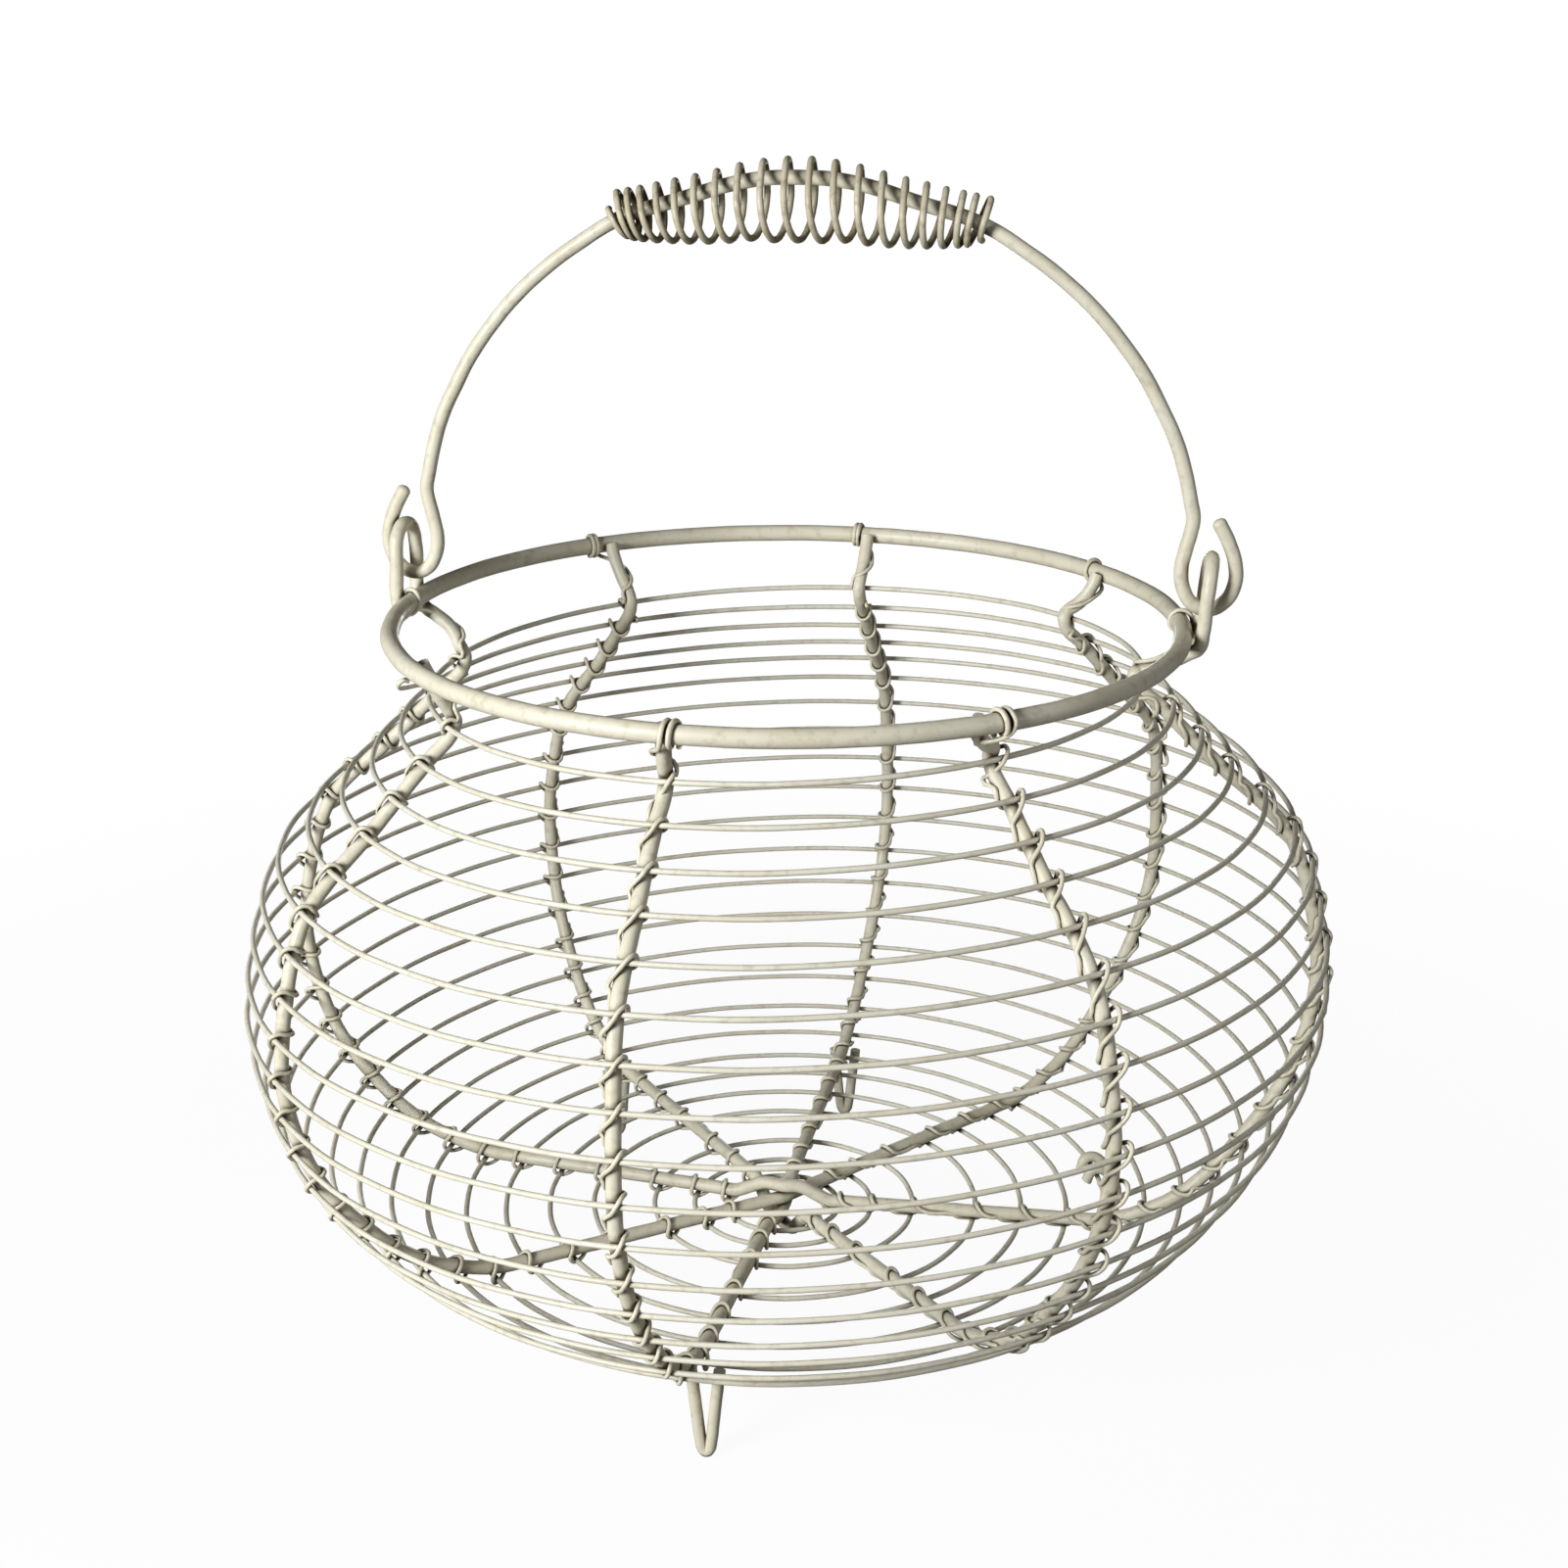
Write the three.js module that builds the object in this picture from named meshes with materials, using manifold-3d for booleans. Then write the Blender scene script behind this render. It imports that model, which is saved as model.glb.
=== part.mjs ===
// Round wire egg basket with a swinging bail handle.
// Lengths are millimetres and +Z is up. The origin is on the floor under the middle of the body,
// X runs from ear to ear, and the handle swings about a line along X.
import * as THREE from 'three';
import { mergeVertices } from 'three/addons/utils/BufferGeometryUtils.js';
import Module from 'manifold-3d';

const wasm = await Module();
wasm.setup();

// Wire diameters
const rimWire = 4.5;
const ribWire = 3.2;
const hoopWire = 1.4;
const lashingWire = 1.2;
const footWire = 2.8;
const handleWire = 3.5;
const gripWire = 1.6;

// Gap kept between wires that touch on the real basket
const clearance = 0.3;

// Heights: the base is the flat bottom grille
const baseHeight = 21;
const bodyDepth = 160;
const rimHeight = baseHeight + bodyDepth;
const rimRadius = 97;

// Wall of the body, as the places of the hoops' wire centres: the neck is drawn in from the rim,
// the rest is drawn in from the belly. Drops go down from the rim, and rises go up from the base.
const neck = { drawIn: 8.7, drop: 13.6 };
const flank = { drawIn: 29.5, drop: 32.8 };
const shoulder = { drawIn: 9.7, drop: 51.6 };
const upperBelly = { drawIn: 1.8, drop: 74 };
const belly = { radius: 137, drop: 95 };
const lowerBelly = { drawIn: 6, rise: 41.5 };
const heel = { drawIn: 17.5, rise: 23.5 };
const toe = { drawIn: 32, rise: 9 };
const baseEdge = { radius: 86.3, rise: 1 };
const sideHoops = 19;
const ringRadii = [75, 63, 51, 34.5, 23.5, 15];

// Hand-made unevenness: the hoops below the fifth are spaced wide of their places, the hoops lean up
// towards the right ear, and the bottom rings are set off towards the front foot, the inner ones most
const wideGap = { opens: 3, full: 5, closes: 12, slip: 1.9 };
const hoopLean = { slope: 0.032, full: 12, none: 18 };
const ringSetOff = 6;

// Ribs: compass angle of each rib at the rim, neck, belly and base, counted from the right ear
const rightEarRib = { rim: 4.1, neck: 3.4, belly: 1, base: -2, lean: 0.1 };
const backRightRib = { rim: 39.5, neck: 41.3, belly: 47.8, base: 49 };
const backRib = { rim: 86.8, neck: 87.1, belly: 87.4, base: 89.6 };
const backLeftRib = { rim: 132.4, neck: 131.4, belly: 133.5, base: 135 };
const leftEarRib = { rim: 180 - rightEarRib.rim, neck: 176.4, belly: 177.6, base: 178, lean: 0 };
const frontLeftRib = { rim: 217.2, neck: 215.6, belly: 219.7, base: 221.7 };
const frontRib = { rim: 264.6, neck: 263.4, belly: 265.6, base: 267.1 };
const frontRightRib = { rim: 307.2, neck: 312.4, belly: 312.2, base: 311.3 };
const ribBellyHoop = 9;

// Ears: the upright eyes that the two ear ribs end in
const earHalfWidth = 6.3;
const earHeight = 18.4;

// Bail handle, measured from the hinge line at the bottom of its hooks: its sides lean in from the ears
const hingeLift = 5.8;
const archRise = 100;
const archLeanIn = 4.79;
const archWidestRise = 22.2;
const hookWidth = 13;
const hookInside = 7;
const hookTipRise = 22.2;
const bailShift = 1.7;

// Wire grip coiled round the top of the handle: open turns between turns wound tight at both ends, and a slack tail.
// Each turn is narrow at the top, and moves along the handle mostly on its way round the bottom.
const gripTurns = { tightLeft: 2.5, open: 16, tightRight: 1, tail: 1 };
const gripPitch = { tight: 2.65, end: 3.4, middle: 5.75, tail: 3.1 };
const gripMiddleRadius = 9.5;
const gripEndRadius = 4.9;
const gripMiddleHang = 5;
const gripTaper = { radius: 1.35, hang: 2.2 };
const gripTopNarrow = 0.3;
const gripPinch = 0.5;

// Feet: bent wire V's. Three end under a rib or its lashing, and one hooks over the lowest hoop.
// Their rise is measured from the lowest hoop to the tops of the legs.
const feet = {
  front: { angle: 269, rise: 2, hooked: false },
  back: { angle: backRib.base, rise: -0.5, hooked: false },
  left: { angle: backLeftRib.base, rise: -0.5, hooked: false },
  right: { angle: 19, rise: -3.8, hooked: true },
};
const footSetOut = 5.44;
const footTipHalfGap = 0.9;
const footSplay = 0.11;
const footFlat = 0.3;

// Lashing: one thin wire along each rib, one turn at each crossing
const lashingHalfWidth = 2.9;
const lashingReach = 3;
const lashingSlack = 0.4;
const lashedRings = 4;

// Facets
const hoopSegments = 32;
const ringSegments = 24;
const rimSegments = 36;
const gripStepsPerTurn = 12;

const hingeRadius = rimRadius + (rimWire + ribWire) / 2 + clearance;
const earAngle = THREE.MathUtils.degToRad(rightEarRib.rim);
const hingeX = hingeRadius * Math.cos(earAngle);
const hingeY = hingeRadius * Math.sin(earAngle);
const hingeZ = rimHeight + hingeLift;
const archHalfWidth = hingeX - archLeanIn;

const coating = new THREE.MeshStandardMaterial({ color: '#d9d5c3', roughness: 0.45, metalness: 0 });
const handleCoating = new THREE.MeshStandardMaterial({ color: '#dedbc9', roughness: 0.42, metalness: 0 });

// A path whose steps fall on its own points, so that a bent wire keeps each bend
class BentWire extends THREE.CatmullRomCurve3 {
  constructor(points) {
    super(points, false, 'centripetal');
  }

  getUtoTmapping(u) {
    return u;
  }
}

function wireGeometry(points, diameter, sides) {
  const section = new THREE.Shape();
  for (let i = 0; i < sides; i++) {
    const angle = (2 * Math.PI * i) / sides;
    const x = (diameter / 2) * Math.cos(angle);
    const y = (diameter / 2) * Math.sin(angle);
    if (i === 0) section.moveTo(x, y);
    else section.lineTo(x, y);
  }
  section.closePath();
  return new THREE.ExtrudeGeometry(section, {
    steps: points.length - 1,
    curveSegments: 1,
    bevelEnabled: false,
    extrudePath: new BentWire(points),
  });
}

function piece(name, geometry, material = coating) {
  const mesh = new THREE.Mesh(geometry, material);
  mesh.name = name;
  return mesh;
}

// A point by compass angle, distance from the axis, sideways offset and height
function around(degrees, radius, sideways, height) {
  const angle = THREE.MathUtils.degToRad(degrees);
  return new THREE.Vector3(
    radius * Math.cos(angle) - sideways * Math.sin(angle),
    radius * Math.sin(angle) + sideways * Math.cos(angle),
    height,
  );
}

// The wall's outline in a plane through the axis, from the neck to the first bottom ring
const neckRadius = rimRadius - neck.drawIn;
const wallOutline = new THREE.CatmullRomCurve3(
  [
    [neckRadius, rimHeight - neck.drop],
    [belly.radius - flank.drawIn, rimHeight - flank.drop],
    [belly.radius - shoulder.drawIn, rimHeight - shoulder.drop],
    [belly.radius - upperBelly.drawIn, rimHeight - upperBelly.drop],
    [belly.radius, rimHeight - belly.drop],
    [belly.radius - lowerBelly.drawIn, baseHeight + lowerBelly.rise],
    [belly.radius - heel.drawIn, baseHeight + heel.rise],
    [belly.radius - toe.drawIn, baseHeight + toe.rise],
    [baseEdge.radius, baseHeight + baseEdge.rise],
    [ringRadii[0], baseHeight],
  ].map(([radius, height]) => new THREE.Vector3(radius, 0, height)),
  false,
  'centripetal',
);

const ribInset = (hoopWire + ribWire) / 2 + clearance;
const neckInset = ribInset + 2 * clearance;

// Share of the way down the wall at which a hoop sits
const wallLength = wallOutline.getLength();

function hoopShare(index) {
  const { opens, full, closes, slip } = wideGap;
  const opened = THREE.MathUtils.smoothstep(index, opens, full);
  const closed = THREE.MathUtils.smoothstep(index, full, closes);
  return index / sideHoops + (slip * (opened - closed)) / wallLength;
}

// How far the middle of a ring on the base is set off towards the front
function setOffAt(radius) {
  return ringSetOff * (1 - radius / ringRadii[0]);
}

// Each place where a rib crosses a hoop or ring: the hoop's wire centre, the direction that points out
// of the basket, the direction that runs down the wall, the hoop's lean and how far it is set off
function crossing(index) {
  if (index >= sideHoops) {
    const radius = ringRadii[index - sideHoops];
    const setOff = setOffAt(radius);
    return { radius, height: baseHeight, out: [0, -1], down: [-1, 0], inset: ribInset, lean: 0, setOff };
  }
  const place = wallOutline.getPointAt(hoopShare(index));
  const lean = hoopLean.slope * (1 - THREE.MathUtils.smoothstep(index, hoopLean.full, hoopLean.none));
  const level = { radius: place.x, height: place.z, lean, setOff: 0 };
  if (index === 0) return { ...level, out: [1, 0], down: [0, -1], inset: neckInset };
  const run = wallOutline.getTangentAt(hoopShare(index));
  return { ...level, out: [-run.z, run.x], down: [run.x, run.z], inset: ribInset };
}

const crossings = Array.from({ length: sideHoops + ringRadii.length }, (_, i) => crossing(i));

// Compass angle of a rib at a crossing, turning smoothly from its neck to its belly and its base
function ribAngle(rib, index) {
  const upper = THREE.MathUtils.smoothstep(index, 0, ribBellyHoop);
  const lower = THREE.MathUtils.smoothstep(index, ribBellyHoop, sideHoops);
  return rib.neck + (rib.belly - rib.neck) * upper + (rib.base - rib.belly) * lower;
}

// Lifts a point with the hoops' lean, and moves a point of the base with its ring
function uneven(point, lean, setOff) {
  point.z += lean * point.x;
  point.y -= setOff;
  return point;
}

// A point between the rim and the neck: it takes up the hoops' lean on the way down
function aboveNeck(degrees, radius, sideways, drop) {
  const share = THREE.MathUtils.smoothstep(drop, rimWire, neck.drop);
  return uneven(around(degrees, radius, sideways, rimHeight - drop), hoopLean.slope * share, 0);
}

// A point near a crossing, measured from the rib's wire centre there
function besideRib(rib, index, sideways, outward, downward) {
  const { radius, height, out, down, inset, lean, setOff } = crossings[index];
  const depth = outward - inset;
  const point = around(
    ribAngle(rib, index),
    radius + out[0] * depth + down[0] * downward,
    sideways,
    height + out[1] * depth + down[1] * downward,
  );
  return uneven(point, lean, setOff);
}

// Rim: one thick wire ring
function makeRim() {
  const radius = rimRadius / Math.cos(Math.PI / rimSegments);
  const geometry = new THREE.TorusGeometry(radius, rimWire / 2, 6, rimSegments);
  const mesh = piece('rim', geometry);
  mesh.position.z = rimHeight;
  return mesh;
}

// Hoops: wire rings whose flats, not corners, lie on the wall, so that ribs inside them stay clear
function makeHoop(name, place, segments) {
  const radius = place.radius / Math.cos(Math.PI / segments);
  const mesh = piece(name, new THREE.TorusGeometry(radius, hoopWire / 2, 4, segments));
  mesh.rotation.y = -Math.atan(place.lean);
  mesh.position.set(0, -place.setOff, place.height);
  return mesh;
}

// Top of a plain rib: it ends against the inside of the rim and bends in at the neck
function plainTop(rib) {
  const seat = rimRadius - (rimWire + ribWire) / 2 - clearance;
  const crook = neckRadius - neckInset;
  return [
    aboveNeck(rib.rim, seat, 0, 0),
    aboveNeck((rib.rim + rib.neck) / 2, (seat + crook) / 2, 0, neck.drop * 0.55),
    aboveNeck(rib.neck, crook + 0.25 * ribWire, 0, neck.drop * 0.82),
  ];
}

// Top of an ear rib: under the rim, up its outside, over as an eye and back under the rim
function earTop(rib) {
  const under = (rimWire + ribWire) / 2 + 2 * clearance;
  const crook = neckRadius - neckInset;
  const wide = earHalfWidth;
  const tall = earHeight;
  const half = [
    [hingeRadius + clearance, wide, 0.47 * ribWire],
    [hingeRadius, wide, 0.43 * tall],
    [hingeRadius, 0.95 * wide, 0.67 * tall],
    [hingeRadius, 0.73 * wide, 0.89 * tall],
  ];
  const back = half.map(([radius, sideways, rise]) => [radius, -sideways, rise]).reverse();
  const path = [
    [rimRadius + 0.5 * ribWire, wide, -under],
    [hingeRadius - clearance, wide, -0.5 * under],
    ...half,
    [hingeRadius, 0, tall],
    ...back,
    [hingeRadius - clearance, -0.9 * wide, -0.55 * under],
    [rimRadius + 0.375 * ribWire, -0.6 * wide, -under],
    [rimRadius - 0.75 * ribWire, -0.3 * wide, -under - 0.34 * ribWire],
    [rimRadius - 2.25 * ribWire, -0.1 * wide, -neck.drop * 0.58],
    [crook + 0.5 * ribWire, 0, -neck.drop * 0.78],
  ];
  return path.map(([radius, sideways, rise]) => {
    const outward = rib.lean * Math.max(rise, 0);
    return aboveNeck(rib.rim, radius + outward, sideways, -rise);
  });
}

// Rib wires: each long wire runs down one side, under the base and up the other side.
// The wires cross in the middle one over another, which the level sets.
const crossingSpan = 13;
const crossingCore = 5;
const stackStep = ribWire + 1.33 * clearance;

function ribDown(rib, top, level) {
  const points = [...top];
  crossings.forEach((_, i) => points.push(besideRib(rib, i, 0, 0, 0)));
  [crossingSpan, (crossingSpan + crossingCore) / 2, crossingCore].forEach((radius) => {
    const share = 1 - THREE.MathUtils.smoothstep(radius, crossingCore, crossingSpan);
    const height = baseHeight + ribInset + level * stackStep * share;
    points.push(uneven(around(rib.base, radius, 0, height), 0, setOffAt(radius)));
  });
  return { points, middle: baseHeight + ribInset + level * stackStep };
}

function makeRibWire(name, first, second, level, top) {
  const down = ribDown(first, top(first), level);
  const up = ribDown(second, top(second), level);
  const middle = new THREE.Vector3(0, -setOffAt(0), down.middle);
  const path = [...down.points, middle, ...up.points.reverse()];
  return piece(name, wireGeometry(path, ribWire, 6));
}

// Lashings: a turn over the rim, then one slanted turn over each hoop that passes behind the rib
const lashedCrossings = sideHoops + lashedRings;
const lashingBack = (ribWire + lashingWire) / 2 + clearance + lashingSlack;

function lashingPath(rib) {
  const hug = (rimWire + lashingWire) / 2 + clearance;
  const points = [
    [hug, -hug],
    [hug, hug],
    [-hug, hug],
    [-hug, -hug],
  ].map(([outward, rise]) => around(rib.rim, rimRadius + outward, lashingHalfWidth, rimHeight + rise));
  for (let i = 0; i < lashedCrossings; i++) {
    const cornerRadius = crossings[i].radius / Math.cos(Math.PI / hoopSegments);
    const bulge = cornerRadius - crossings[i].radius;
    const over = crossings[i].inset + bulge + (hoopWire + lashingWire) / 2 + clearance;
    if (i > 0) points.push(besideRib(rib, i, lashingHalfWidth, -lashingBack, -lashingReach - lashingWire));
    points.push(besideRib(rib, i, lashingHalfWidth, over, -lashingReach));
    points.push(besideRib(rib, i, -lashingHalfWidth, over, lashingReach));
    points.push(besideRib(rib, i, -lashingHalfWidth, -lashingBack, lashingReach + lashingWire));
  }
  return points;
}

// Feet: a narrow V with a small flat where it stands
const boxCorner = 200;
const underFloor = new THREE.BoxGeometry(boxCorner, boxCorner, boxCorner);
underFloor.translate(0, 0, -boxCorner / 2);

function toSolid(geometry) {
  const bare = geometry.clone();
  bare.deleteAttribute('normal');
  bare.deleteAttribute('uv');
  const merged = mergeVertices(bare, 1e-5);
  return new wasm.Manifold(
    new wasm.Mesh({
      numProp: 3,
      vertProperties: new Float32Array(merged.attributes.position.array),
      triVerts: new Uint32Array(merged.index.array),
    }),
  );
}

function toGeometry(solid) {
  const { vertProperties, triVerts } = solid.getMesh();
  const geometry = new THREE.BufferGeometry();
  geometry.setAttribute('position', new THREE.BufferAttribute(new Float32Array(vertProperties), 3));
  geometry.setIndex(new THREE.BufferAttribute(new Uint32Array(triVerts), 1));
  geometry.computeVertexNormals();
  return geometry;
}

function makeFoot(name, { angle, rise, hooked }) {
  const hoop = crossings[sideHoops - 1];
  const seat = (footWire + hoopWire) / 2 + clearance;
  const tip = footWire / 2 - footFlat;
  const footRadius = hoop.radius + footSetOut;
  const hook = [
    [hoop.radius - 1.23 * seat, hoop.height - 0.46 * seat],
    [hoop.radius - 0.6 * seat, hoop.height + 0.85 * seat],
    [hoop.radius + 0.6 * seat, hoop.height + 0.85 * seat],
    [footRadius - 0.6 * seat, hoop.height - 0.5 * seat],
  ];
  const legTop = hoop.height + rise;
  const leg = [
    [footRadius, legTop],
    [footRadius, (legTop + tip) / 2],
    [footRadius, tip + 0.4 * footWire],
  ];
  const side = hooked ? [...hook, ...leg] : leg;
  const halfGap = (height) => footTipHalfGap + footSplay * (height - tip);
  const points = [
    ...side.map(([radius, height]) => around(angle, radius, halfGap(height), height)),
    around(angle, footRadius, 0, tip),
    ...side.map(([radius, height]) => around(angle, radius, -halfGap(height), height)).reverse(),
  ];
  const wire = toSolid(wireGeometry(points, footWire, 6));
  return piece(name, toGeometry(wire.subtract(toSolid(underFloor))));
}

// Handle: an arch whose sides lean in above the ears and end in hooks that turn outwards and up
const handleArch = [
  [0, 1],
  [0.121, 0.994],
  [0.302, 0.951],
  [0.455, 0.912],
  [0.565, 0.846],
  [0.661, 0.775],
  [0.741, 0.704],
  [0.807, 0.631],
  [0.863, 0.558],
  [0.907, 0.484],
  [0.946, 0.41],
  [0.973, 0.335],
  [0.992, 0.26],
].map(([across, up]) => [archHalfWidth * across, archRise * up]);

function handleSide() {
  const inner = hingeX - hookInside;
  const outer = hingeX - hookInside + hookWidth;
  return [
    ...handleArch,
    [archHalfWidth, archWidestRise],
    [archHalfWidth - 0.14 * handleWire, 0.83 * archWidestRise],
    [inner + 0.23 * handleWire, 0.65 * archWidestRise],
    [inner, 0.42 * archWidestRise],
    [inner + 0.26 * handleWire, 0.2 * archWidestRise],
    [hingeX - 0.29 * hookWidth, 0.05 * archWidestRise],
    [hingeX, 0],
    [hingeX + 0.28 * hookWidth, 0.09 * hookTipRise],
    [outer - 0.06 * handleWire, 0.28 * hookTipRise],
    [outer - 0.06 * handleWire, 0.5 * hookTipRise],
    [outer - 0.57 * handleWire, 0.74 * hookTipRise],
    [hingeX + 0.25 * handleWire, hookTipRise],
  ];
}

function makeHandle() {
  const side = handleSide();
  const mirrored = side.slice(1).map(([across, up]) => [-across, up]).reverse();
  const points = [...mirrored, ...side].map(([across, up]) => new THREE.Vector3(across, 0, up));
  return piece('handle', wireGeometry(points, handleWire, 6), handleCoating);
}

// Grip: a coil, fat in the middle, whose ends close down on the handle wire
const handleTop = new THREE.CatmullRomCurve3(
  [...handleArch.slice(1, 6).map(([across, up]) => new THREE.Vector3(-across, 0, up)).reverse(),
    ...handleArch.slice(0, 6).map(([across, up]) => new THREE.Vector3(across, 0, up))],
  false,
  'centripetal',
);

function handleRiseAt(across) {
  let low = 0;
  let high = 1;
  for (let i = 0; i < 40; i++) {
    const middle = (low + high) / 2;
    if (handleTop.getPoint(middle).x < across) low = middle;
    else high = middle;
  }
  return handleTop.getPoint(low).z;
}

function gripPitchAt(turn) {
  const { tightLeft, open, tightRight } = gripTurns;
  const share = (turn - tightLeft) / open;
  if (turn > tightLeft + open + tightRight) return gripPitch.tail;
  if (share < 0 || share > 1) return gripPitch.tight;
  return gripPitch.end + (gripPitch.middle - gripPitch.end) * Math.sin(Math.PI * share);
}

function gripPath() {
  const turns = gripTurns.tightLeft + gripTurns.open + gripTurns.tightRight + gripTurns.tail;
  const steps = Math.round(turns * gripStepsPerTurn);
  const places = [0];
  for (let i = 0; i < steps; i++) {
    places.push(places[i] + gripPitchAt((i + 0.5) / gripStepsPerTurn) / gripStepsPerTurn);
  }
  const halfLength = places[steps] / 2;
  const seatRadius = (handleWire + gripWire) / 2 + clearance;
  return places.map((place, i) => {
    const across = place - halfLength;
    const fullness = 1 - Math.abs(across / halfLength) ** gripTaper.radius;
    const hang = 1 - Math.abs(across / halfLength) ** gripTaper.hang;
    const turnsFromEnd = Math.min(i, steps - i) / gripStepsPerTurn;
    const closing = THREE.MathUtils.smoothstep(turnsFromEnd, 0, 0.6);
    const radius = seatRadius * 1.12 * (1 - closing)
      + closing * (gripEndRadius + (gripMiddleRadius - gripEndRadius) * fullness);
    const slope = (handleRiseAt(across + 0.5) - handleRiseAt(across - 0.5)) * (1 - hang);
    const lean = Math.atan(slope);
    const middle = handleRiseAt(across) - gripMiddleHang * hang * closing;
    const turn = (2 * Math.PI * i) / gripStepsPerTurn;
    const lift = radius * Math.cos(turn);
    const side = radius * Math.sin(turn) * (1 - gripTopNarrow * Math.max(Math.cos(turn), 0) * closing);
    return new THREE.Vector3(
      across - lift * Math.sin(lean) - gripPinch * fullness * Math.sin(turn),
      -side,
      middle + lift * Math.cos(lean),
    );
  });
}

// Least distance between the surfaces of one wire's turns, measured on points more than half a turn apart
function leastSelfGap(points, diameter, apart) {
  const path = new BentWire(points);
  const fine = path.getPoints((points.length - 1) * 4);
  let least = Infinity;
  for (let i = 0; i < fine.length; i++) {
    for (let j = i + apart * 4; j < fine.length; j++) {
      least = Math.min(least, fine[i].distanceTo(fine[j]));
    }
  }
  return least - diameter;
}

const basket = new THREE.Group();
basket.add(makeRim());
crossings.forEach((place, i) => {
  if (i < sideHoops) {
    basket.add(makeHoop(`hoop_${String(i + 1).padStart(2, '0')}`, place, hoopSegments));
  } else {
    basket.add(makeHoop(`bottom_ring_${i - sideHoops + 1}`, place, ringSegments));
  }
});

basket.add(makeRibWire('rib_wire_back_left', backLeftRib, frontRightRib, -2, plainTop));
basket.add(makeRibWire('rib_wire_front', frontRib, backRib, -1, plainTop));
basket.add(makeRibWire('rib_wire_back_right', backRightRib, frontLeftRib, 0, plainTop));
basket.add(makeRibWire('rib_wire_ears', leftEarRib, rightEarRib, 1, earTop));

const lashedRibs = {
  right_ear: rightEarRib,
  back_right: backRightRib,
  back: backRib,
  back_left: backLeftRib,
  left_ear: leftEarRib,
  front_left: frontLeftRib,
  front: frontRib,
  front_right: frontRightRib,
};
Object.entries(lashedRibs).forEach(([side, rib]) => {
  const points = lashingPath(rib);
  basket.add(piece(`lashing_${side}`, wireGeometry(points, lashingWire, 3)));
  console.log(`lashing ${side}: least gap to itself ${leastSelfGap(points, lashingWire, 3).toFixed(2)} mm`);
});

Object.entries(feet).forEach(([side, foot]) => {
  basket.add(makeFoot(`foot_${side}`, foot));
});

const bail = new THREE.Group();
bail.position.set(bailShift, hingeY, hingeZ);
bail.add(makeHandle());
const gripPoints = gripPath();
bail.add(piece('grip_coil', wireGeometry(gripPoints, gripWire, 5), handleCoating));
console.log(`grip coil: least gap to itself ${leastSelfGap(gripPoints, gripWire, gripStepsPerTurn / 2).toFixed(2)} mm`);
basket.add(bail);

export default basket;
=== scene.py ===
import math

import bmesh
import bpy
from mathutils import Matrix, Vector, noise


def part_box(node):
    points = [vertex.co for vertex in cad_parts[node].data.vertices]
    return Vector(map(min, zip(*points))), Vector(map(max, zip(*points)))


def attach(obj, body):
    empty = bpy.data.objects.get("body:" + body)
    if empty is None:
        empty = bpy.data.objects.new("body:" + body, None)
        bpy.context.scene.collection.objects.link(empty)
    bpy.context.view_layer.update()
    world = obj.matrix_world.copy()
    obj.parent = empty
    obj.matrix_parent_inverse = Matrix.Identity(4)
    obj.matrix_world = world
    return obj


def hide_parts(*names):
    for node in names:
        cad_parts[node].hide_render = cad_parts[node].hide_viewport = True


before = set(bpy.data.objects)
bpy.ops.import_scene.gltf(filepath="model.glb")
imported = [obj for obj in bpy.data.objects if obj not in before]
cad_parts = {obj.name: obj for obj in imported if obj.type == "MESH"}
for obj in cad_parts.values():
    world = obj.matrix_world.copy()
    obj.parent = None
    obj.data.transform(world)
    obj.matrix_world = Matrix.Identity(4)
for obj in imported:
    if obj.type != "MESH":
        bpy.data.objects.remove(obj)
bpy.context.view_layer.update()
print("frame loaded:", len(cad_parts), "CAD nodes")

mm = 0.001  # every size below is in millimetres, apart from the studio's


# bending wire

surface = {  # the same on every piece
    "weldGap": 0.001,
    "edgeSegments": 3,
    "capCorners": 5,  # at the least; the faces along a wire have four
    "sharpAngle": 50,
    "fineLumps": 0.4,  # size of the finer lumps beside the coarse ones
    "fineShare": 0.5,
}


def around(degrees, radius, sideways, height):
    # a place by compass angle, distance from the axis, sideways offset and height
    angle = math.radians(degrees)
    return Vector((
        radius * math.cos(angle) - sideways * math.sin(angle),
        radius * math.sin(angle) + sideways * math.cos(angle),
        height,
    ))


def smoothStep(value, low, high):
    share = min(max((value - low) / (high - low), 0), 1)
    return share * share * (3 - 2 * share)


def bentWire(name, route, settings, closed=False, shares=None):
    # round wire along a route; shares of the thickness may be given place by place
    curve = bpy.data.curves.new(name, "CURVE")
    curve.dimensions = "3D"
    curve.bevel_depth = settings["wire"] / 2 * mm
    curve.bevel_resolution = settings["roundness"]
    curve.resolution_u = settings["bendSteps"]
    curve.use_fill_caps = True
    spline = curve.splines.new("BEZIER")
    spline.bezier_points.add(len(route) - 1)
    spline.use_cyclic_u = closed
    for point, place, share in zip(spline.bezier_points, route, shares or [1] * len(route)):
        point.co = place * mm
        point.handle_left_type = point.handle_right_type = "AUTO"
        point.radius = share
    rod = bpy.data.objects.new(name + "Route", curve)
    bpy.context.scene.collection.objects.link(rod)
    bpy.context.view_layer.update()
    mesh = bpy.data.meshes.new_from_object(rod.evaluated_get(bpy.context.evaluated_depsgraph_get()))
    bpy.data.objects.remove(rod)
    wire = bpy.data.objects.new(name, mesh)
    bpy.context.scene.collection.objects.link(wire)
    return wire


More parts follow.
